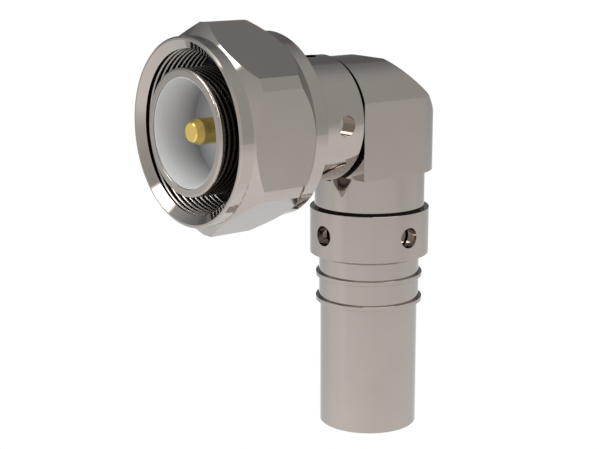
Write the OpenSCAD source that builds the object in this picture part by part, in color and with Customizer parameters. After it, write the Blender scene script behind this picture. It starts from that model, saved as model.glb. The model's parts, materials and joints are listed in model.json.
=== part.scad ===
// Right-angle coaxial plug with a hexagonal coupling nut, an elbow body and a cable tube.
// Millimetres. The mating axis lies along Y and the plug faces -Y. The cable tube points along -Z.
// The origin is the centre of the outer contact's front face.

/* [Mating face] */
// Distance from the outer contact's front face back to the cable axis
reach = 24; // [22:0.1:28]
// Major diameter of the coupling thread
thread_major = 17; // [16:0.1:18]
// Radial height of the coupling thread
thread_height = 0.44; // [0.3:0.02:0.6]
// Outer diameter of the outer contact
ring_d = 12.66; // [12:0.02:13]
// Wall of the outer contact
ring_wall = 0.83; // [0.7:0.01:1]
// Rounding of the outer contact's front edge
ring_round = 0.25; // [0.1:0.05:0.7]
// Depth of the white cup in front of its floor
cup_depth = 4.75; // [4:0.05:5.5]
// Wall of the white cup at its floor
cup_wall = 0.5; // [0.3:0.05:0.6]
// Distance of the white cup's rim behind the outer contact's front face
cup_back = 0.15; // [0.05:0.05:0.3]
// Diameter of the centre pin
pin_d = 2.62; // [2.2:0.02:3]
// Diameter of the flat on the pin's nose
pin_tip_d = 1.8; // [1.2:0.1:2]
// Length of the pin's tapered nose
pin_nose = 0.85; // [0.5:0.05:1.5]
// Broken edge round the pin's tip
pin_edge = 0.12; // [0.06:0.02:0.2]
// Distance of the pin's tip behind the outer contact's front face
pin_back = 0.8; // [0.2:0.05:1.5]
// Step from the free pin out to the grip in the insulator
grip_step = 0.24; // [0.1:0.02:0.4]

/* [Coupling nut] */
// Wall of the nut between the thread and the flats
nut_wall = 1; // [0.8:0.05:1.5]
// How far the corners of the hexagon are turned off
corner_turn = 0.37; // [0.2:0.01:0.6]
// Step from the flats down to the front rim
rim_step = 0.15; // [0.1:0.01:0.4]
// Step from the flats down to the rear rim
back_step = 0.13; // [0.1:0.01:0.4]
// Width of the front rim's face outside the countersink
rim_land = 0.33; // [0.2:0.01:0.4]
// Length of the nut
nut_length = 10.45; // [9.6:0.05:11]
// Distance of the nut's front behind the outer contact's front face
nut_back = 0.15; // [0:0.05:0.6]
// Length of the round front rim
rim_length = 1.45; // [1:0.05:1.6]
// Length of the front cone that ends the hexagon
front_cone = 1; // [0.8:0.1:1.4]
// Length of the round rear rim
back_length = 1.6; // [1.2:0.1:1.8]
// Length of the rear cone that ends the hexagon
rear_cone = 1.75; // [1:0.05:2]
// Depth of the countersink
nut_sink = 0.7; // [0.3:0.01:0.8]
// Length of the lip behind the countersink
sink_lip = 0.1; // [0.05:0.05:0.2]
// Thickness of the nut's rear flange
nut_flange = 2.66; // [2.4:0.02:3]
// Axial play of the nut on the neck
nut_float = 0.6; // [0.2:0.1:0.7]
// Gap between the nut's flange and the neck's shoulder
shoulder_gap = 0.3; // [0.2:0.05:0.5]

/* [Neck] */
// Diameter of the neck
neck_d = 13.14; // [12:0.02:14]
// Width of the gap between the neck and the elbow
neck_gap = 0.5; // [0.3:0.05:0.8]
// Step from the outer contact out to the edge of the shoulder
shoulder_step = 1.27; // [1:0.01:1.4]
// Thickness of the shoulder
shoulder_thick = 1.2; // [0.9:0.1:1.4]
// Thickness of the face gasket
gasket_thick = 0.9; // [0.6:0.1:1.2]
// Thickness of the shoulder's web behind the outer contact
seat_web = 0.1; // [0.05:0.05:0.3]
// Diameter of the spanner holes
spanner_d = 2.15; // [1.6:0.05:2.3]
// Distance of the spanner holes in front of the neck's rear face
spanner_at = 2.28; // [1.8:0.02:2.6]
// Wall left under the spanner holes
spanner_floor = 0.87; // [0.4:0.01:0.9]
// Thickness of the snap ring
snap_thick = 0.8; // [0.6:0.05:0.9]
// Depth of the snap ring's groove in the neck
snap_deep = 0.65; // [0.5:0.05:0.8]
// How far the snap ring stands out of the neck
snap_out = 0.5; // [0.3:0.05:0.6]
// Distance of the snap ring behind the flange's front
snap_inset = 0.45; // [0.3:0.05:0.6]
// Forward play of the snap ring in the neck's groove
snap_room = 0.15; // [0.12:0.01:0.3]
// Opening of the snap ring
snap_gap = 1.2; // [0.8:0.1:3]
// Wall of the elbow round the neck's spigot
socket_wall = 0.8; // [0.6:0.05:1]
// Wall of the neck's spigot
spigot_wall = 0.45; // [0.3:0.05:0.6]
// Length of the neck's spigot in the elbow
spigot_deep = 2; // [1.5:0.1:2.3]

/* [Elbow] */
// Width across the side flats
body_width = 12; // [11:0.1:13]
// How far the arched top's radius exceeds half the width
arch_rise = 0.31; // [0.2:0.01:0.6]
// How far the round back's radius exceeds half the width
back_rise = 0.31; // [0.2:0.01:0.6]
// Distance of the round back's axis behind the cable axis
back_shift = 0.63; // [0.3:0.01:0.9]
// Height of the corner bevel above the crossing of the axes
bevel = 5.66; // [5.2:0.02:6.4]
// Tilt of the corner bevel, in degrees
bevel_tilt = 48.4; // [44:0.1:52]
// Distance in front of the cable axis from which the arched top falls
crown_at = 2.48; // [1.5:0.02:3.5]
// Tilt of the arched top's falling end, in degrees
crown_tilt = 10.4; // [6:0.1:14]
// Room between the round back and the ball that rounds the heel
heel_room = 0.145; // [0.1:0.005:0.3]
// Drop of the block's underside below the mating axis
block_drop = 6.09; // [5.7:0.01:6.6]
// Drop of the barrel's end below the mating axis
barrel_drop = 9.93; // [9.2:0.01:10.8]
// Diameter of the crossing bores
cross_bore_d = 6.4; // [6:0.1:6.6]

/* [Inner line] */
// Diameter of the inner line between the beads
line_d = 4.1; // [3.8:0.1:4.4]
// Length of the insulator's tail in the neck
insulator_tail = 1.9; // [1.5:0.1:2.4]
// Thickness of the beads
bead_thick = 2; // [1.5:0.1:2.2]
// Distance of the support bead behind the neck's rear face
bead_inset = 0.45; // [0.2:0.05:0.6]
// Diameter of the post that joins the contacts at the corner
post_d = 3.4; // [3:0.1:3.8]
// Height of the post above the pin's tail
post_cap = 1; // [0.8:0.1:1.2]
// Depth of the post below the pin's tail
post_foot = 1.3; // [1.1:0.1:1.6]
// Room round the post
post_room = 0.3; // [0.2:0.05:0.4]
// Diameter of the contacts' tails in the post
tail_d = 1.76; // [1.4:0.02:2]
// Distance of the pin's tail inside the post's rear side
tail_short = 0.5; // [0.3:0.1:0.8]
// Depth of the cable contact's tail in the post
tail_deep = 0.95; // [0.7:0.05:1]
// Shoulder above the cable bead, below the crossing bore
bead_shoulder = 2; // [1.6:0.1:2.2]
// Bore of the socket for the cable's inner conductor
socket_bore = 1.9; // [1.6:0.1:2]
// Depth of the socket
socket_deep = 4; // [3:0.1:5]
// Length of the socket's slots
slot_length = 3.2; // [2.5:0.1:4]
// Width of the socket's slots
slot_width = 0.35; // [0.2:0.05:0.5]
// Distance of the socket's mouth above the screw end
socket_inset = 1.4; // [1:0.1:2]

/* [Cable side] */
// Step from the barrel down to the root of the screw end
screw_step = 0.95; // [0.8:0.05:1.2]
// Radial room of the screw thread between the elbow and the collar
screw_thread = 0.17; // [0.1:0.01:0.25]
// Length of the elbow's screw end below the barrel
screw_length = 3.67; // [3.4:0.01:3.9]
// Wall of the screw end round the clamp
screw_wall = 0.85; // [0.7:0.05:1]
// Diameter of the clamp collar
collar_d = 12.98; // [12.6:0.02:13.4]
// Length of the clamp collar
collar_length = 5.04; // [4.6:0.02:5.6]
// Width of the gap between the barrel and the collar
collar_gap = 0.28; // [0.2:0.02:0.5]
// Diameter of the spanner holes in the collar
collar_hole_d = 2.2; // [1.6:0.05:2.4]
// Distance of the spanner holes below the collar's top
collar_hole_at = 2.57; // [2.2:0.01:2.8]
// Wall of the braid clamp
braid_wall = 1; // [0.7:0.05:1.2]
// Width of the braid clamp's flat nose
braid_nose = 0.4; // [0.3:0.05:0.5]
// Height of the cone between the braid clamp and the gasket
cone_height = 0.8; // [0.5:0.1:1]
// Height of the clamp gasket inside the cone
clamp_gasket_height = 1.6; // [1.2:0.1:2]
// Width by which the gasket's bore exceeds the braid clamp's, on each side
gasket_relief = 0.2; // [0.1:0.05:0.3]
// Thickness of the clamp washer
washer_thick = 0.51; // [0.4:0.01:0.7]
// Distance of the stem's pusher above the screw end
pusher_inset = 0.45; // [0.3:0.05:0.6]
// Wall of the stem's pusher
pusher_wall = 0.5; // [0.4:0.05:0.7]
// Gap between the screw end and the stem's plug
plug_gap = 0.5; // [0.3:0.05:0.7]
// Diameter of the cable tube
tube_d = 10.66; // [10:0.02:11.2]
// Wall of the cable tube
tube_wall = 0.98; // [0.8:0.02:1.2]
// Radial cut at the tube's top, where the stem holds it
tube_seat_cut = 0.5; // [0.3:0.02:0.6]
// Distance of the tube's top below the collar
tube_inset = 0.8; // [0.5:0.1:1.2]
// Drop of the tube's end below the mating axis
tube_drop = 34.6; // [30:0.1:40]
// Step from the tube out to the stem
stem_step = 0.15; // [0.05:0.01:0.3]
// Step from the stem out to the ridges
ridge_step_out = 0.34; // [0.2:0.01:0.5]
// Height of a ridge
ridge_height = 0.46; // [0.3:0.02:0.8]
// Distance of the first ridge below the collar
ridge_at = 2.19; // [1.8:0.01:2.4]
// Distance between the ridges
ridge_pitch = 2.76; // [2.4:0.02:3]

/* [Clearances] */
// Radial clearance of seated pieces
seat = 0.02; // [0.01:0.01:0.04]
// Radial clearance between the turning nut and the neck
run = 0.05; // [0.02:0.01:0.08]
// Clearance of the snap ring in the nut
snap_play = 0.04; // [0.02:0.01:0.06]
// Broken edge of the nut
nut_edge = 0.15; // [0.05:0.05:0.2]
// Broken edge of the turned pieces
fine_edge = 0.03; // [0.02:0.01:0.1]

/* [Hidden] */
$fn = 96;

metal = [0.70, 0.67, 0.64];
gold = [0.86, 0.68, 0.25];
white = [0.90, 0.91, 0.91];
black = [0.03, 0.03, 0.03];

// Length that passes through any cut
through = 2 * (reach + tube_drop);
// Distances in front of the cable axis
nut_front = reach - nut_back;
nut_end = nut_front - nut_length;
flange_front = nut_end + nut_flange;
snap_front = flange_front - snap_inset;
snap_end = snap_front - snap_thick;
shoulder_end = flange_front + shoulder_gap;
shoulder_front = shoulder_end + shoulder_thick;
seat_back = shoulder_end + seat_web;
insulator_end = seat_back - insulator_tail;
cup_floor = reach - cup_depth;
neck_end = body_width / 2 + neck_gap;
bead_end = neck_end - bead_inset;
// Heights below the mating axis
cable_bead_top = -(cross_bore_d / 2 + bead_shoulder);
cable_bead_end = cable_bead_top - bead_thick;
screw_end = -(barrel_drop + screw_length);
collar_top = -(barrel_drop + collar_gap);
collar_end = collar_top - collar_length;
plug_top = screw_end - plug_gap;
pusher_top = screw_end + pusher_inset;
washer_top = pusher_top + washer_thick + 2 * seat;
cone_low = washer_top + clamp_gasket_height;
cone_high = cone_low + cone_height;
stem_end = collar_end - ridge_at - ridge_pitch - ridge_height;
tube_top = collar_end - tube_inset;
// Radii about the mating axis
thread_r = thread_major / 2;
flats_r = thread_r + nut_wall;
rim_r = flats_r - rim_step;
back_r = flats_r - back_step;
corner_r = flats_r / cos(30) - corner_turn;
ring_r = ring_d / 2;
neck_r = neck_d / 2;
shoulder_r = ring_r + shoulder_step;
snap_inner = neck_r - snap_deep + 2 * run;
snap_outer = neck_r + snap_out;
spigot_r = body_width / 2 - socket_wall;
neck_bore_r = spigot_r - spigot_wall;
pin_r = pin_d / 2;
grip_r = pin_r + grip_step;
tail_r = tail_d / 2;
arch_r = body_width / 2 + arch_rise;
// Radii about the cable axis
round_back_r = body_width / 2 + back_rise;
heel_r = max(arch_r, round_back_r) + back_shift / 2 + heel_room;
post_r = post_d / 2;
screw_r = body_width / 2 - screw_step;
collar_bore_r = screw_r + screw_thread;
clamp_r = screw_r - screw_wall;
braid_r = clamp_r - braid_wall;
stem_bore_r = clamp_r - pusher_wall;
tube_r = tube_d / 2;
tube_bore_r = tube_r - tube_wall;
tube_seat_r = tube_r - tube_seat_cut;
stem_r = tube_r + stem_step;
ridge_r = stem_r + ridge_step_out;

// Puts the crossing of the two axes behind the origin.
module in_frame() {
    translate([0, reach, 0])
        children();
}

// Turns a profile of [radius, distance in front of the cable axis] about the mating axis.
module turned_front(points) {
    rotate([90, 0, 0])
        rotate_extrude()
            polygon(points);
}

// Turns a profile of [radius, height] about the cable axis.
module turned_down(points) {
    rotate_extrude()
        polygon(points);
}

// A round rod along the mating axis between two distances in front of the cable axis.
module rod_front(r, low, high) {
    translate([0, -low, 0])
        rotate([90, 0, 0])
            cylinder(r = r, h = high - low);
}

// A round rod along the cable axis between two heights.
module rod_up(r, low, high) {
    translate([0, 0, low])
        cylinder(r = r, h = high - low);
}

// Four radial holes about the mating axis.
module holes_about_neck(at, d, from_r) {
    for (turn = [0:90:270])
        rotate([0, turn, 0])
            translate([from_r, -at, 0])
                rotate([0, 90, 0])
                    cylinder(d = d, h = from_r);
}

// Four radial holes about the cable axis.
module holes_about_cable(at, d, from_r) {
    for (turn = [0:90:270])
        rotate([0, 0, turn])
            translate([from_r, 0, at])
                rotate([0, 90, 0])
                    cylinder(d = d, h = from_r);
}

// The nut before its bore: round rims and a hexagon that ends in two cones.
module nut_blank() {
    hex_front = nut_front - rim_length;
    hex_end = nut_end + back_length;
    turned_front([
        [0, nut_end],
        [back_r - nut_edge, nut_end],
        [back_r, nut_end + nut_edge],
        [back_r, hex_end + nut_edge],
        [rim_r, hex_front - nut_edge],
        [rim_r, nut_front - nut_edge],
        [rim_r - nut_edge, nut_front],
        [0, nut_front]]);
    intersection() {
        turned_front([
            [0, hex_end],
            [back_r, hex_end],
            [corner_r, hex_end + rear_cone],
            [corner_r, hex_front - front_cone],
            [rim_r, hex_front],
            [0, hex_front]]);
        translate([0, -nut_end, 0])
            rotate([90, 0, 0])
                rotate([0, 0, 30])
                    cylinder(r = flats_r / cos(30), h = nut_length, $fn = 6);
    }
}

module coupling_nut() {
    neck_hole = neck_r + run;
    snap_hole = snap_outer + 2 * run;
    lip_r = thread_r - thread_height + 2 * run;
    lip_front = nut_front - nut_sink;
    past = nut_length / 10;
    color(metal)
        in_frame()
            difference() {
                nut_blank();
                turned_front([
                    [0, nut_end - past],
                    [neck_hole, nut_end - past],
                    [neck_hole, snap_end - snap_play],
                    [snap_hole, snap_end - snap_play],
                    [snap_hole, snap_front + snap_play],
                    [neck_hole, snap_front + snap_play],
                    [neck_hole, flange_front],
                    [thread_r, flange_front],
                    [thread_r, lip_front - 2 * sink_lip],
                    [lip_r, lip_front - sink_lip],
                    [lip_r, lip_front],
                    [rim_r - rim_land, nut_front],
                    [rim_r - rim_land, nut_front + past],
                    [0, nut_front + past]]);
            }
}

// An open spring ring that holds the nut on the neck.
module snap_ring() {
    color(metal)
        in_frame()
            difference() {
                rod_front(snap_outer, snap_end, snap_front);
                rod_front(snap_inner, snap_end - snap_thick, snap_front + snap_thick);
                translate([-snap_gap / 2, -snap_front - snap_thick, -2 * snap_outer])
                    cube([snap_gap, 3 * snap_thick, 2 * snap_outer]);
            }
}

module face_gasket() {
    front = shoulder_front + gasket_thick;
    color(black)
        in_frame()
            difference() {
                rod_front(shoulder_r - 2 * run, shoulder_front, front);
                rod_front(ring_r + seat, shoulder_front - gasket_thick, front + gasket_thick);
            }
}

// The plated ring, with a round front edge.
module outer_contact() {
    inner = ring_r - ring_wall;
    color(metal)
        in_frame()
            rotate([90, 0, 0])
                rotate_extrude() {
                    polygon([
                        [inner, seat_back],
                        [ring_r, seat_back],
                        [ring_r, reach - ring_round],
                        [ring_r - ring_round, reach],
                        [inner + fine_edge, reach],
                        [inner, reach - fine_edge]]);
                    translate([ring_r - ring_round, reach - ring_round])
                        intersection() {
                            circle(r = ring_round);
                            square(ring_round);
                        }
                }
}

// The neck: spigot, snap ring groove, shoulder, seat of the outer contact and four spanner holes.
module front_body() {
    spigot_end = body_width / 2 - spigot_deep + seat;
    groove_end = snap_end - nut_float - snap_play;
    groove_front = snap_front + snap_room;
    color(metal)
        in_frame()
            difference() {
                turned_front([
                    [neck_bore_r, spigot_end],
                    [spigot_r, spigot_end],
                    [spigot_r, neck_end],
                    [neck_r - fine_edge, neck_end],
                    [neck_r, neck_end + fine_edge],
                    [neck_r, groove_end],
                    [neck_r - snap_deep, groove_end],
                    [neck_r - snap_deep, groove_front],
                    [neck_r, groove_front],
                    [neck_r, shoulder_end],
                    [shoulder_r, shoulder_end],
                    [shoulder_r, shoulder_front],
                    [ring_r + seat, shoulder_front],
                    [ring_r + seat, seat_back],
                    [neck_bore_r, seat_back]]);
                holes_about_neck(neck_end + spanner_at, spanner_d, neck_bore_r + spanner_floor);
            }
}

// The white cup with a floor that carries the centre pin.
module front_insulator() {
    cup_r = ring_r - ring_wall - seat;
    cup_front = reach - cup_back;
    color(white)
        in_frame()
            turned_front([
                [grip_r + seat, insulator_end],
                [neck_bore_r - seat, insulator_end],
                [neck_bore_r - seat, seat_back],
                [cup_r, seat_back],
                [cup_r, cup_front],
                [cup_r - cup_wall / 4, cup_front],
                [cup_r - cup_wall, cup_floor],
                [grip_r + seat, cup_floor]]);
}

// The pin: its tail in the post, the line's collar, the grip in the insulator and the free end.
module centre_pin() {
    tip = reach - pin_back;
    line_end = bead_end + bead_thick + seat;
    line_front = insulator_end - seat;
    color(gold)
        in_frame()
            turned_front([
                [0, tail_short - post_r],
                [tail_r, tail_short - post_r],
                [tail_r, post_r + post_room],
                [pin_r, post_r + post_room],
                [pin_r, line_end],
                [line_d / 2, line_end],
                [line_d / 2, line_front],
                [grip_r, line_front],
                [grip_r, cup_floor],
                [pin_r, cup_floor],
                [pin_r, tip - pin_nose],
                [pin_tip_d / 2 + pin_edge, tip - pin_edge],
                [pin_tip_d / 2, tip],
                [0, tip]]);
}

module support_bead() {
    front = bead_end + bead_thick;
    color(white)
        in_frame()
            difference() {
                rod_front(neck_bore_r - seat, bead_end, front);
                rod_front(pin_r + seat, bead_end - bead_thick, front + bead_thick);
            }
}

module neck_seal() {
    half = body_width / 2;
    color(black)
        in_frame()
            difference() {
                rod_front(half - run, half + seat, neck_end - seat);
                rod_front(spigot_r + seat, half - neck_gap, neck_end + neck_gap);
            }
}

// Cuts what lies above a plane that falls towards the back, through a point in the side view.
module falling_cut(at, tilt) {
    translate([0, at[0], at[1]])
        rotate([-tilt, 0, 0])
            translate([-through / 2, -through / 2, 0])
                cube(through);
}

// Rounds the heel, where the bevel, the side flats and the round back meet.
module heel_cut() {
    difference() {
        translate([-through / 2, back_shift, 0])
            cube(through);
        translate([0, back_shift / 2, 0])
            sphere(r = heel_r);
    }
}

// The block: side flats, an arched top and a round back, cut by the bevel and rounded at the heel.
module elbow_block() {
    half = body_width / 2;
    height = block_drop + 2 * arch_r;
    difference() {
        intersection() {
            union() {
                translate([-half, -half, -block_drop])
                    cube([body_width, half + back_shift, height]);
                translate([0, back_shift, -block_drop])
                    cylinder(r = round_back_r, h = height);
            }
            union() {
                translate([-half, -half, -block_drop])
                    cube([body_width, 3 * body_width, block_drop]);
                rod_front(arch_r, -2 * round_back_r, half);
            }
            translate([-half, -through / 2, -through / 2])
                cube([body_width, through, through]);
        }
        falling_cut([-crown_at, arch_r], crown_tilt);
        falling_cut([0, bevel], bevel_tilt);
        heel_cut();
    }
}

// The elbow: the block, the barrel and the screw end, with the bores that cross inside.
module elbow_body() {
    half = body_width / 2;
    color(metal)
        in_frame()
            difference() {
                union() {
                    elbow_block();
                    rod_up(half - seat, -barrel_drop, -block_drop + screw_step);
                    rod_up(screw_r, screw_end, -barrel_drop + screw_step);
                }
                rod_front(spigot_r + seat, half - spigot_deep, half + neck_gap);
                rod_front(cross_bore_d / 2, tail_short - post_r, half);
                rod_up(cross_bore_d / 2, cable_bead_top - bead_thick, 0);
                rod_up(post_r + post_room, -post_r, tail_r + post_cap + post_room);
                rod_up(clamp_r, screw_end - screw_length, cable_bead_top);
            }
}

// The post that joins the pin and the cable contact at the corner.
module angle_contact() {
    foot = -(tail_r + post_foot);
    color(gold)
        in_frame()
            difference() {
                rod_up(post_r, foot, tail_r + post_cap);
                rod_front(tail_r + seat, -2 * post_r, 2 * post_r);
                rod_up(tail_r + seat, foot - post_foot, foot + tail_deep + seat);
            }
}

// A slotted spring socket for the cable's inner conductor.
module cable_contact() {
    foot = -(tail_r + post_foot);
    mouth = screw_end + socket_inset;
    color(gold)
        in_frame()
            difference() {
                turned_down([
                    [0, mouth],
                    [pin_r - nut_edge, mouth],
                    [pin_r, mouth + nut_edge],
                    [pin_r, foot],
                    [tail_r, foot],
                    [tail_r, foot + tail_deep],
                    [0, foot + tail_deep]]);
                rod_up(socket_bore / 2, mouth - socket_deep, mouth + socket_deep);
                for (turn = [0, 90])
                    rotate([0, 0, turn])
                        translate([-pin_d, -slot_width / 2, mouth - slot_length])
                            cube([2 * pin_d, slot_width, 2 * slot_length]);
            }
}

module cable_bead() {
    color(white)
        in_frame()
            difference() {
                rod_up(clamp_r - seat, cable_bead_end, cable_bead_top - seat);
                rod_up(pin_r + seat, cable_bead_end - bead_thick, cable_bead_top + bead_thick);
            }
}

module barrel_seal() {
    color(black)
        in_frame()
            difference() {
                rod_up((body_width / 2 + screw_r) / 2, collar_top + seat, -barrel_drop - seat);
                rod_up(screw_r + seat, collar_top - collar_gap, -barrel_drop + collar_gap);
            }
}

// The collar that draws the stem against the elbow, with four spanner holes.
module clamp_collar() {
    outer = collar_d / 2;
    color(metal)
        in_frame()
            difference() {
                turned_down([
                    [collar_bore_r, collar_end],
                    [outer - fine_edge, collar_end],
                    [outer, collar_end + fine_edge],
                    [outer, collar_top - fine_edge],
                    [outer - fine_edge, collar_top],
                    [collar_bore_r, collar_top]]);
                holes_about_cable(collar_top - collar_hole_at, collar_hole_d, screw_r - screw_wall);
            }
}

// The clamp for the cable's braid, with a cone towards the gasket.
module braid_clamp() {
    top = cable_bead_end - seat;
    color(metal)
        in_frame()
            turned_down([
                [braid_r, cone_low],
                [braid_r + braid_nose, cone_low],
                [clamp_r - seat, cone_high],
                [clamp_r - seat, top],
                [braid_r, top]]);
}

module clamp_gasket() {
    inner = braid_r + gasket_relief;
    color(black)
        in_frame()
            turned_down([
                [inner, washer_top],
                [clamp_r - seat, washer_top],
                [clamp_r - seat, cone_high - seat],
                [braid_r + braid_nose, cone_low - seat],
                [inner, cone_low - seat]]);
}

module clamp_washer() {
    inner = stem_bore_r - gasket_relief;
    color(metal)
        in_frame()
            turned_down([
                [inner, pusher_top + seat],
                [clamp_r - seat, pusher_top + seat],
                [clamp_r - seat, washer_top - seat],
                [inner, washer_top - seat]]);
}

// The stem with its two ridges. Its upper end seats in the collar and presses on the washer.
module stem_sleeve() {
    plug_r = collar_bore_r - seat;
    mid = stem_end + ridge_pitch;
    color(metal)
        in_frame()
            turned_down([
                [stem_bore_r, pusher_top],
                [clamp_r - seat, pusher_top],
                [clamp_r - seat, plug_top],
                [plug_r, plug_top],
                [plug_r, collar_end - seat],
                [stem_r, collar_end - seat],
                [stem_r, mid + ridge_height],
                [ridge_r - fine_edge, mid + ridge_height],
                [ridge_r, mid + ridge_height - fine_edge],
                [ridge_r, mid + fine_edge],
                [ridge_r - fine_edge, mid],
                [stem_r, mid],
                [stem_r, stem_end + ridge_height],
                [ridge_r - fine_edge, stem_end + ridge_height],
                [ridge_r, stem_end + ridge_height - fine_edge],
                [ridge_r, stem_end + fine_edge],
                [ridge_r - fine_edge, stem_end],
                [tube_seat_r + seat, stem_end],
                [tube_seat_r + seat, tube_top + seat],
                [stem_bore_r, tube_top + seat]]);
}

module cable_tube() {
    color(metal)
        in_frame()
            turned_down([
                [tube_bore_r, -tube_drop],
                [tube_r - fine_edge, -tube_drop],
                [tube_r, -tube_drop + fine_edge],
                [tube_r, stem_end - seat],
                [tube_seat_r, stem_end - seat],
                [tube_seat_r, tube_top],
                [tube_bore_r, tube_top]]);
}

coupling_nut();
snap_ring();
face_gasket();
outer_contact();
front_body();
front_insulator();
centre_pin();
support_bead();
neck_seal();
elbow_body();
angle_contact();
cable_contact();
cable_bead();
barrel_seal();
clamp_collar();
braid_clamp();
clamp_gasket();
clamp_washer();
stem_sleeve();
cable_tube();
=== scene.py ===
import json
import math
import bpy
from mathutils import Matrix, Vector


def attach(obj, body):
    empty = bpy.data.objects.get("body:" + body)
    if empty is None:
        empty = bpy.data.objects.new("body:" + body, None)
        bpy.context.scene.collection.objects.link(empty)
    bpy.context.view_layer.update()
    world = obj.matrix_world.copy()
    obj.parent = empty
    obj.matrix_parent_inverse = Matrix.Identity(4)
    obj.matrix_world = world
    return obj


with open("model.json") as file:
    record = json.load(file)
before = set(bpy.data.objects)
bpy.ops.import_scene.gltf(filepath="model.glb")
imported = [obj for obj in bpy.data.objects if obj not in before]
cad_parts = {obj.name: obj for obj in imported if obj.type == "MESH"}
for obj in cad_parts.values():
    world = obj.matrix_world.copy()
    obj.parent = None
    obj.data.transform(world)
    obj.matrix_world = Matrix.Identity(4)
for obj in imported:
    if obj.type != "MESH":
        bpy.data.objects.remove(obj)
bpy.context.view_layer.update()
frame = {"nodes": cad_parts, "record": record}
nodes = frame["nodes"]
scene = bpy.context.scene
scene.view_settings.view_transform = "Standard"
mm = 0.001
crossing = Vector((0, 24 * mm, 0))  # where the mating axis and the cable axis meet
print("frame loaded,", len(nodes), "solids")


def heading(azimuth, elevation=0):  # azimuth from the front, -Y, towards +X
    az, el = math.radians(azimuth), math.radians(elevation)
    return Vector((math.sin(az) * math.cos(el), -math.cos(az) * math.cos(el), math.sin(el)))


class Flow:  # a socket that takes part in Python sums, or a bare tree to add nodes to
    def __init__(self, tree, socket=None):
        self.tree = tree
        self.socket = socket

    def add(self, kind, settings=None, sockets=None, out=0):
        node = self.tree.nodes.new(kind)
        for name, value in (settings or {}).items():
            if name == "stops":  # colour ramp: position and colour of each stop
                ramp = node.color_ramp
                while len(ramp.elements) < len(value):
                    ramp.elements.new(0.5)
                for element, (place, colour) in zip(ramp.elements, value):
                    element.position = place
                    element.color = (*colour, 1)
            else:
                setattr(node, name, value)
        for name, value in (sockets or {}).items():
            if isinstance(value, Flow):
                self.tree.links.new(value.socket, node.inputs[name])
            else:
                node.inputs[name].default_value = value
        return Flow(self.tree, node.outputs[out]) if len(node.outputs) else None

    def math(self, operation, first, second):
        return self.add("ShaderNodeMath", {"operation": operation}, {0: first, 1: second})

    def __add__(self, other):
        return self.math("ADD", self, other)

    def __sub__(self, other):
        return self.math("SUBTRACT", self, other)

    def __rsub__(self, other):
        return self.math("SUBTRACT", other, self)

    def __mul__(self, other):
        return self.math("MULTIPLY", self, other)

    def __truediv__(self, other):
        return self.math("DIVIDE", self, other)

    def least(self, other):
        return self.math("MINIMUM", self, other)

    def most(self, other):
        return self.math("MAXIMUM", self, other)

    __radd__ = __add__
    __rmul__ = __mul__


def vectorMath(flow, operation, first, second, out="Vector"):
    return flow.add("ShaderNodeVectorMath", {"operation": operation}, {0: first, 1: second}, out)


def mixColour(flow, factor, low, high):  # the colour sockets are the third kind in the node
    return flow.add(
        "ShaderNodeMix",
        {"data_type": "RGBA", "clamp_factor": True},
        {0: factor, 6: low, 7: high},
        out=2,
    )


def step(flow, value, low, high, first=0, last=1):  # falls where low is above high
    return flow.add(
        "ShaderNodeMapRange",
        {"interpolation_type": "SMOOTHSTEP"},
        {"Value": value, "From Min": low, "From Max": high, "To Min": first, "To Max": last},
    )


def newMaterial(name):
    material = bpy.data.materials.new(name)
    material.use_nodes = True
    material.node_tree.nodes.clear()
    return material, Flow(material.node_tree)


camera = {
    "azimuth": 51.6472,
    "elevation": 12.5733,
    "distance": 148.190 * mm,
    "aim": (-7.6036 * mm, -12.0967 * mm),  # right and up from the crossing of the axes
    "roll": -0.1327,
    "focalPixels": 1379.511,
    "imageWidth": 599,
    "sensor": 36,
    "clip": (5 * mm, 20),
}


def makeCamera(c):
    back = heading(c["azimuth"], c["elevation"])
    right = heading(c["azimuth"] + 90)
    up = back.cross(right)
    roll = math.radians(c["roll"])
    place = crossing + right * c["aim"][0] + up * c["aim"][1] + back * c["distance"]
    across = right * math.cos(roll) + up * math.sin(roll)
    upward = up * math.cos(roll) - right * math.sin(roll)
    data = bpy.data.cameras.new("camera")
    data.sensor_width = c["sensor"]
    data.lens = c["focalPixels"] * c["sensor"] / c["imageWidth"]
    data.clip_start, data.clip_end = c["clip"]
    obj = bpy.data.objects.new("camera", data)
    turn = Matrix((across, upward, back)).transposed().to_4x4()
    obj.matrix_world = Matrix.Translation(place) @ turn
    scene.collection.objects.link(obj)
    scene.camera = obj


makeCamera(camera)
print("camera placed")

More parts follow.
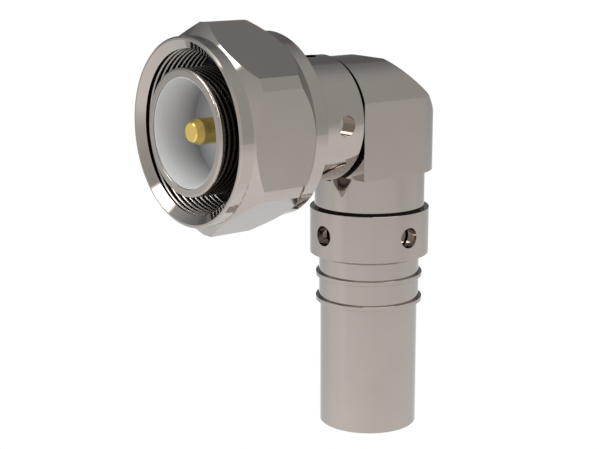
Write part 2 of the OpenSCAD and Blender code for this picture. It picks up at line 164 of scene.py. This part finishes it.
studio = {
    "shade": -124,  # azimuth of the dark side, behind the object
    "open": -14,  # azimuth of the brightest ground
    "room": [  # colour of the upper half, from the open side to the dark side
        (-1.0, (0.78, 0.77, 0.74)),
        (-0.75, (0.71, 0.70, 0.68)),
        (-0.45, (0.56, 0.57, 0.56)),
        (0.12, (0.575, 0.595, 0.56)),
        (0.30, (0.53, 0.53, 0.54)),
        (0.43, (0.43, 0.43, 0.44)),
        (0.58, (0.315, 0.315, 0.325)),
        (0.64, (0.30, 0.30, 0.31)),
        (0.70, (0.20, 0.20, 0.21)),
        (0.77, (0.175, 0.18, 0.19)),
        (1.0, (0.16, 0.17, 0.175)),
    ],
    "ground": [  # the same for the lower half
        (-1.0, (1.06, 1.05, 1.03)),
        (-0.3, (1.04, 1.03, 1.01)),
        (0.3, (0.96, 0.97, 0.96)),
        (1.0, (0.74, 0.77, 0.79)),
    ],
    "boost": (0.23, 0.18),  # where the brightest ground begins, and its growth
    "horizon": (-24, 2),  # elevations between which the ground goes over into the room
    "lift": 0.072,  # rise of the horizon towards the dark side
    "swell": (0.934, 1.25),  # where the horizon swells over the brightest ground, and how much
    "dip": (0.78, 0.90),  # where the room darkens above the brightest ground
    "dipLoss": 0.14,  # how much it darkens there
    "dipRise": (0, 0.3),  # heights over which that sets in
    "page": (19, 15.6),  # the white page behind the object, in degrees off the camera's axis
}
softboxes = [  # half sizes and soft edges in degrees
    {"azimuth": -22, "elevation": 42.5, "half": (11.5, 10), "soft": 8, "glow": 7.5},
    {"azimuth": 89, "elevation": 44, "half": (11, 11), "soft": 4, "glow": 6},
    {"azimuth": 0, "elevation": 90, "half": (26, 26), "soft": 8, "glow": 1.2},
]


def makeWorld(s, boxes, c):
    world = bpy.data.worlds.new("studio")
    world.use_nodes = True
    world.node_tree.nodes.clear()
    flow = Flow(world.node_tree)
    ray = flow.add("ShaderNodeTexCoord", out="Generated")

    def towards(direction):  # cosine of the angle between the ray and the direction
        return vectorMath(flow, "DOT_PRODUCT", ray, direction, "Value")

    def ramp(cosine, stops):
        spread = [((at + 1) / 2, colour) for at, colour in stops]
        return flow.add("ShaderNodeValToRGB", {"stops": spread}, {0: cosine * 0.5 + 0.5})

    shaded = towards(heading(s["shade"]))
    opened = towards(heading(s["open"]))
    upward = towards((0, 0, 1))
    start, growth = s["boost"]
    extra = (opened - start).most(0) * growth
    ground = vectorMath(flow, "ADD", ramp(shaded, s["ground"]), extra)
    loss = step(flow, opened, *s["dip"], 0, s["dipLoss"]) * step(flow, upward, *s["dipRise"])
    room = vectorMath(flow, "SUBTRACT", ramp(shaded, s["room"]), loss)
    edge, rise = s["swell"]
    height = upward - shaded * s["lift"] - (opened - edge).most(0) * rise
    share = step(flow, height, *(math.sin(math.radians(v)) for v in s["horizon"]))
    around = mixColour(flow, share, ground, room)
    behind = towards(-heading(c["azimuth"], c["elevation"]))
    page = step(flow, behind, *(math.cos(math.radians(v)) for v in s["page"]))
    whole = mixColour(flow, page, around, (1, 1, 1, 1))
    for box in boxes:
        middle = heading(box["azimuth"], box["elevation"])
        side = heading(box["azimuth"] + 90)
        ahead = towards(middle).most(0.001)  # keeps the far side dark
        glow = box["glow"]
        for way, half in zip((side, middle.cross(side)), box["half"]):
            off = flow.math("ABSOLUTE", towards(way) / ahead, 0)
            ends = (math.tan(math.radians(half + v * box["soft"])) for v in (0.5, -0.5))
            glow = step(flow, off, *ends) * glow
        whole = vectorMath(flow, "ADD", whole, glow)
    light = flow.add("ShaderNodeBackground", None, {"Color": whole, "Strength": 1})
    flow.add("ShaderNodeOutputWorld", None, {"Surface": light})
    scene.world = world


makeWorld(studio, softboxes, camera)

floor = {
    "level": -120 * mm,
    "radius": 120 * mm,
    "soft": 60 * mm,  # width of the edge that fades out
    "sides": 96,
    "colour": (0.93, 0.93, 0.93, 1),
}


def makeFloor(s):
    middle = Vector((crossing.x, crossing.y, s["level"]))
    turns = [2 * math.pi * i / s["sides"] for i in range(s["sides"])]
    rim = [middle + s["radius"] * Vector((math.cos(a), math.sin(a), 0)) for a in turns]
    mesh = bpy.data.meshes.new("floor")
    mesh.from_pydata(rim, [], [range(s["sides"])])
    material, flow = newMaterial("pale_floor")
    place = flow.add("ShaderNodeTexCoord", out="Object")
    off = vectorMath(flow, "DISTANCE", place, middle, "Value")
    fade = step(flow, off, s["radius"] - s["soft"], s["radius"])
    pale = flow.add("ShaderNodeBsdfDiffuse", None, {"Color": s["colour"]})
    clear = flow.add("ShaderNodeBsdfTransparent")
    both = flow.add("ShaderNodeMixShader", None, {0: fade, 1: pale, 2: clear})
    flow.add("ShaderNodeOutputMaterial", None, {"Surface": both})
    mesh.materials.append(material)
    obj = bpy.data.objects.new("floor", mesh)
    scene.collection.objects.link(obj)


makeFloor(floor)
print("studio built")


def turnedPlace(flow, axis):  # the place, its radius from the turning axis and its way along it
    place = flow.add("ShaderNodeTexCoord", out="Object")
    if axis == "Z":
        place = flow.add("ShaderNodeMapping", None, {"Vector": place, "Location": -crossing})
    flat = vectorMath(flow, "MULTIPLY", place, (1, 0, 1) if axis == "Y" else (1, 1, 0))
    radius = flow.add("ShaderNodeVectorMath", {"operation": "LENGTH"}, {0: flat}, "Value")
    along = flow.add("ShaderNodeSeparateXYZ", None, {0: place}, axis)
    return place, radius, along


def noise(flow, place, scale, detail):
    return flow.add(
        "ShaderNodeTexNoise", None, {"Vector": place, "Scale": scale, "Detail": detail}
    )


def turningLines(flow, radius, along, scale):
    section = flow.add("ShaderNodeCombineXYZ", None, {0: radius, 1: along})
    return noise(flow, section, scale, 1)


def closeMaterial(flow, s, height, sockets):
    bump = flow.add(
        "ShaderNodeBump",
        None,
        {"Strength": s["relief"], "Distance": s["reliefDepth"], "Height": height},
    )
    shader = flow.add("ShaderNodeBsdfPrincipled", None, {**sockets, "Normal": bump})
    flow.add("ShaderNodeOutputMaterial", None, {"Surface": shader})


plating = {
    "tone": (0.434, 0.391, 0.362),
    "shift": 0.05,  # how far the tone wanders
    "roughness": 0.07,
    "smudge": 0.03,  # roughness of the handled patches
    "patchScale": 260,
    "lines": 0.03,  # roughness of the turning lines
    "lineScale": 7000,
    "relief": 0.10,
    "reliefDepth": 0.002 * mm,
}
bronze = dict(plating, tone=(0.36, 0.27, 0.17), roughness=0.22)
gilding = dict(
    plating,
    tone=(0.84, 0.60, 0.17),
    shift=0.06,
    roughness=0.17,
    smudge=0,
    patchScale=900,
    lines=0.06,
    lineScale=6000,
    relief=0.2,
)
threadPaintedLightAndShade = {  # painted light and shade on the nut's thread: crests painted brighter, grooves painted dark
    "axis": "Y",
    "front": (0.9 * mm, 1.1 * mm),  # where the shade begins along the axis
    "back": (8.0 * mm, 7.5 * mm),  # and where it ends
    "within": 8.65 * mm,  # its outer radius
    "depth": (8.1 * mm, 8.35 * mm),  # radii of crest and groove
    "share": (1.2, 0.06),  # of the plating's tone, at those radii
    "roughness": 0.2,  # added to the plating's
}
ringPaintedShade = {  # painted shade on the outer contact's wall inside the nut
    "axis": "Y",
    "front": (0.3 * mm, 1.2 * mm),
    "back": (9.0 * mm, 8.5 * mm),
    "within": 6.45 * mm,
    "depth": (6.1 * mm, 6.3 * mm),
    "share": (0.5, 0.3),
    "roughness": 0.03,
}
rimSoft = {  # the outer contact's front edge, duller but no darker
    "axis": "Y",
    "front": (-1 * mm, -0.5 * mm),
    "back": (0.55 * mm, 0.3 * mm),
    "within": 6.9 * mm,
    "share": 1,
    "roughness": 0.19,
}
seatPaintedShade = {  # painted shade on the elbow's front face, inside the gap to the neck
    "axis": "Y",
    "front": (17.0 * mm, 17.2 * mm),
    "back": (18.08 * mm, 18.03 * mm),
    "within": 6.85 * mm,
    "share": 0.06,
    "roughness": 0.4,
}
stemPaintedShade = {  # painted shade: a fine dark line just below the collar
    "axis": "Z",
    "front": (-15.66 * mm, -15.62 * mm),
    "back": (-15.2 * mm, -15.25 * mm),
    "within": 7 * mm,
    "share": 0.5,
    "roughness": 0.1,
}
shadeEdge = 0.05 * mm  # over which a shade ends at its outer radius


def platedMetal(name, axis, s, *shades):
    material, flow = newMaterial(name)
    place, radius, along = turnedPlace(flow, axis)
    lines = turningLines(flow, radius, along, s["lineScale"])
    patches = noise(flow, place, s["patchScale"], 3)
    low = (*(v * (1 - s["shift"]) for v in s["tone"]), 1)
    high = (*(v * (1 + s["shift"]) for v in s["tone"]), 1)
    tone = mixColour(flow, patches, low, high)
    rough = s["roughness"] + (patches - 0.5) * s["smudge"] + (lines - 0.5) * s["lines"]
    # each painted shade scales the tone inside its bounds and adds to the roughness there
    for shade in shades:
        radius, along = turnedPlace(flow, shade["axis"])[1:]
        inside = step(flow, along, *shade["front"]) * step(flow, along, *shade["back"])
        inside = inside * step(flow, radius, shade["within"], shade["within"] - shadeEdge)
        share = shade["share"]
        if "depth" in shade:
            share = step(flow, radius, *shade["depth"], *share)
        keep = 1 - inside * (1 - share)
        tone = flow.add("ShaderNodeVectorMath", {"operation": "SCALE"}, {0: tone, "Scale": keep})
        rough = rough + inside * shade["roughness"]
    closeMaterial(flow, s, lines, {"Base Color": tone, "Metallic": 1, "Roughness": rough})
    return material


insulator = {
    "tone": (0.67, 0.68, 0.70),
    "shade": (0.64, 0.65, 0.67),
    "cloudScale": 500,
    "paintedShade": (0.31, 0.32, 0.34),  # painted shade, darkest where the wall meets the floor
    "depth": (0.3 * mm, 4.75 * mm),  # from the rim to the floor
    "curve": 2.2,  # how late the painted shade sets in on the wall
    "floor": (2.2 * mm, 4.9 * mm),  # radii between which the painted shade on the floor grows
    "floorShare": 0.75,  # of that painted shade, in the middle of the floor
    "roughness": 0.5,
    "lines": 0.1,
    "lineScale": 5000,
    "relief": 0.15,
    "reliefDepth": 0.004 * mm,
    "refraction": 1.38,
}


def whiteInsulator(s):
    material, flow = newMaterial("white_insulator")
    place, radius, along = turnedPlace(flow, "Y")
    lines = turningLines(flow, radius, along, s["lineScale"])
    clouds = noise(flow, place, s["cloudScale"], 3)
    tone = mixColour(flow, clouds, (*s["shade"], 1), (*s["tone"], 1))
    near, far = s["depth"]
    # painted shade: the cup's wall darkens towards its floor, and the floor towards its corner
    paintedShade = flow.math("POWER", ((along - near) / (far - near)).most(0).least(1), s["curve"])
    paintedShade = paintedShade * step(flow, radius, *s["floor"], s["floorShare"], 1)
    tone = mixColour(flow, paintedShade, tone, (*s["paintedShade"], 1))
    rough = s["roughness"] + (lines - 0.5) * s["lines"]
    closeMaterial(
        flow, s, lines, {"Base Color": tone, "Roughness": rough, "IOR": s["refraction"]}
    )
    return material


rubber = {
    "tone": (0.012, 0.012, 0.012),
    "worn": (0.022, 0.022, 0.022),
    "roughness": 0.62,
    "grain": 0.2,  # roughness of the grain
    "grainScale": 9000,
    "relief": 0.3,
    "reliefDepth": 0.008 * mm,
}


def blackRubber(s):
    material, flow = newMaterial("black_rubber")
    place = flow.add("ShaderNodeTexCoord", out="Object")
    grain = noise(flow, place, s["grainScale"], 2)
    tone = mixColour(flow, grain, (*s["tone"], 1), (*s["worn"], 1))
    rough = s["roughness"] + (grain - 0.5) * s["grain"]
    closeMaterial(flow, s, grain, {"Base Color": tone, "Roughness": rough})
    return material


finish = {
    "plated_nut": platedMetal("plated_nut", "Y", plating, threadPaintedLightAndShade),
    "plated_neck": platedMetal("plated_neck", "Y", plating, ringPaintedShade, rimSoft),
    "plated_body": platedMetal("plated_body", "Z", plating, seatPaintedShade),
    "plated_tube": platedMetal("plated_tube", "Z", plating, stemPaintedShade),
    "spring_metal": platedMetal("spring_metal", "Y", bronze),
    "gold_contact": platedMetal("gold_contact", "Y", gilding),
    "white_insulator": whiteInsulator(insulator),
    "black_rubber": blackRubber(rubber),
}
turnedOnNeck = ("outer_contact", "front_body")  # body pieces that are turned about the mating axis
for row in frame["record"]["subparts"]:
    slotName = row["material_slot"]
    if row["node"] in turnedOnNeck:
        slotName = "plated_neck"
    mesh = nodes[row["node"]].data
    mesh.materials.clear()
    mesh.materials.append(finish[slotName])
print("finishes set:", ", ".join(finish))

couplingThread = {
    "root": 8.55 * mm,
    "crest": 8.09 * mm,
    "pitch": 0.6 * mm,
    "low": 17.2 * mm,  # in front of the cable axis
    "high": 23.02 * mm,
    "crestFlat": 0.10,  # share of the pitch
    "rootFlat": 0.92,
    "steps": 120,  # to the turn
    "runOut": 0.5,  # turns that taper at each end
    "tip": 0.02,  # size of the section at the very end
    "start": 195,  # degrees about the mating axis at which the ridge begins
}


def threadTree(material):  # a helical ridge with a tapered start and end, about Z
    tree = bpy.data.node_groups.new("thread_ridge", "GeometryNodeTree")
    face = tree.interface
    for label in ("Root", "Crest", "Pitch", "Turns", "Crest Flat", "Root Flat", "Run Out", "Tip"):
        face.new_socket(label, in_out="INPUT", socket_type="NodeSocketFloat")
    face.new_socket("Steps", in_out="INPUT", socket_type="NodeSocketInt")
    face.new_socket("Geometry", in_out="OUTPUT", socket_type="NodeSocketGeometry")
    flow = Flow(tree)
    given = tree.nodes.new("NodeGroupInput")
    value = {s.name: Flow(tree, s) for s in given.outputs if s.name}
    spiral = flow.add(
        "GeometryNodeCurveSpiral",
        None,
        {
            "Resolution": value["Steps"],
            "Rotations": value["Turns"],
            "Start Radius": value["Root"],
            "End Radius": value["Root"],
            "Height": value["Pitch"] * value["Turns"],
            "Reverse": True,
        },
    )
    upright = flow.add("GeometryNodeSetCurveNormal", {"mode": "Z_UP"}, {"Curve": spiral})
    at = flow.add("GeometryNodeSplineParameter", out=0)
    ends = at.least(1 - at) * value["Turns"] / value["Run Out"]
    rise = value["Crest"] - value["Root"]
    side = flow.math("SIGN", rise, 0) * value["Pitch"] * 0.5  # keeps the faces outwards
    crestHalf = side * value["Crest Flat"]
    rootHalf = side * value["Root Flat"]

    def corner(x, y):
        return flow.add("ShaderNodeCombineXYZ", None, {0: x, 1: y})

    profile = flow.add(
        "GeometryNodeCurvePrimitiveQuadrilateral",
        {"mode": "POINTS"},
        {
            "Point 1": corner(0, 0 - rootHalf),
            "Point 2": corner(rise, 0 - crestHalf),
            "Point 3": corner(rise, crestHalf),
            "Point 4": corner(0, rootHalf),
        },
    )
    ridge = flow.add(
        "GeometryNodeCurveToMesh",
        None,
        {
            "Curve": upright,
            "Profile Curve": profile,
            "Scale": ends.least(1).most(value["Tip"]),
            "Fill Caps": True,
        },
    )
    whole = flow.add("GeometryNodeRealizeInstances", None, {"Geometry": ridge})
    dressed = flow.add("GeometryNodeSetMaterial", None, {"Geometry": whole, "Material": material})
    flow.add("NodeGroupOutput", None, {0: dressed})
    return tree


def makeThread(name, s, material, body):
    tree = threadTree(material)
    values = {
        "Root": s["root"],
        "Crest": s["crest"],
        "Pitch": s["pitch"],
        "Turns": (s["high"] - s["low"]) / s["pitch"],
        "Crest Flat": s["crestFlat"],
        "Root Flat": s["rootFlat"],
        "Run Out": s["runOut"],
        "Tip": s["tip"],
        "Steps": s["steps"],
    }
    maker = bpy.data.objects.new(name + "_maker", bpy.data.meshes.new(name + "_maker"))
    scene.collection.objects.link(maker)
    modifier = maker.modifiers.new("thread", "NODES")
    modifier.node_group = tree
    for item in tree.interface.items_tree:
        if item.in_out == "INPUT":
            modifier[item.identifier] = values[item.name]
    evaluated = maker.evaluated_get(bpy.context.evaluated_depsgraph_get())
    mesh = bpy.data.meshes.new_from_object(evaluated)
    maker.modifiers.remove(modifier)
    bpy.data.objects.remove(maker)
    mesh.name = name
    place = Matrix.Translation(crossing - Vector((0, s["low"], 0)))
    forward = Matrix.Rotation(math.radians(90), 4, "X")  # from Z to the mating axis
    mesh.transform(place @ forward @ Matrix.Rotation(math.radians(s["start"]), 4, "Z"))
    obj = bpy.data.objects.new(name, mesh)
    scene.collection.objects.link(obj)
    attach(obj, body)
    print(name, len(mesh.polygons), "faces")


makeThread("coupling_thread", couplingThread, finish["plated_nut"], "nut")
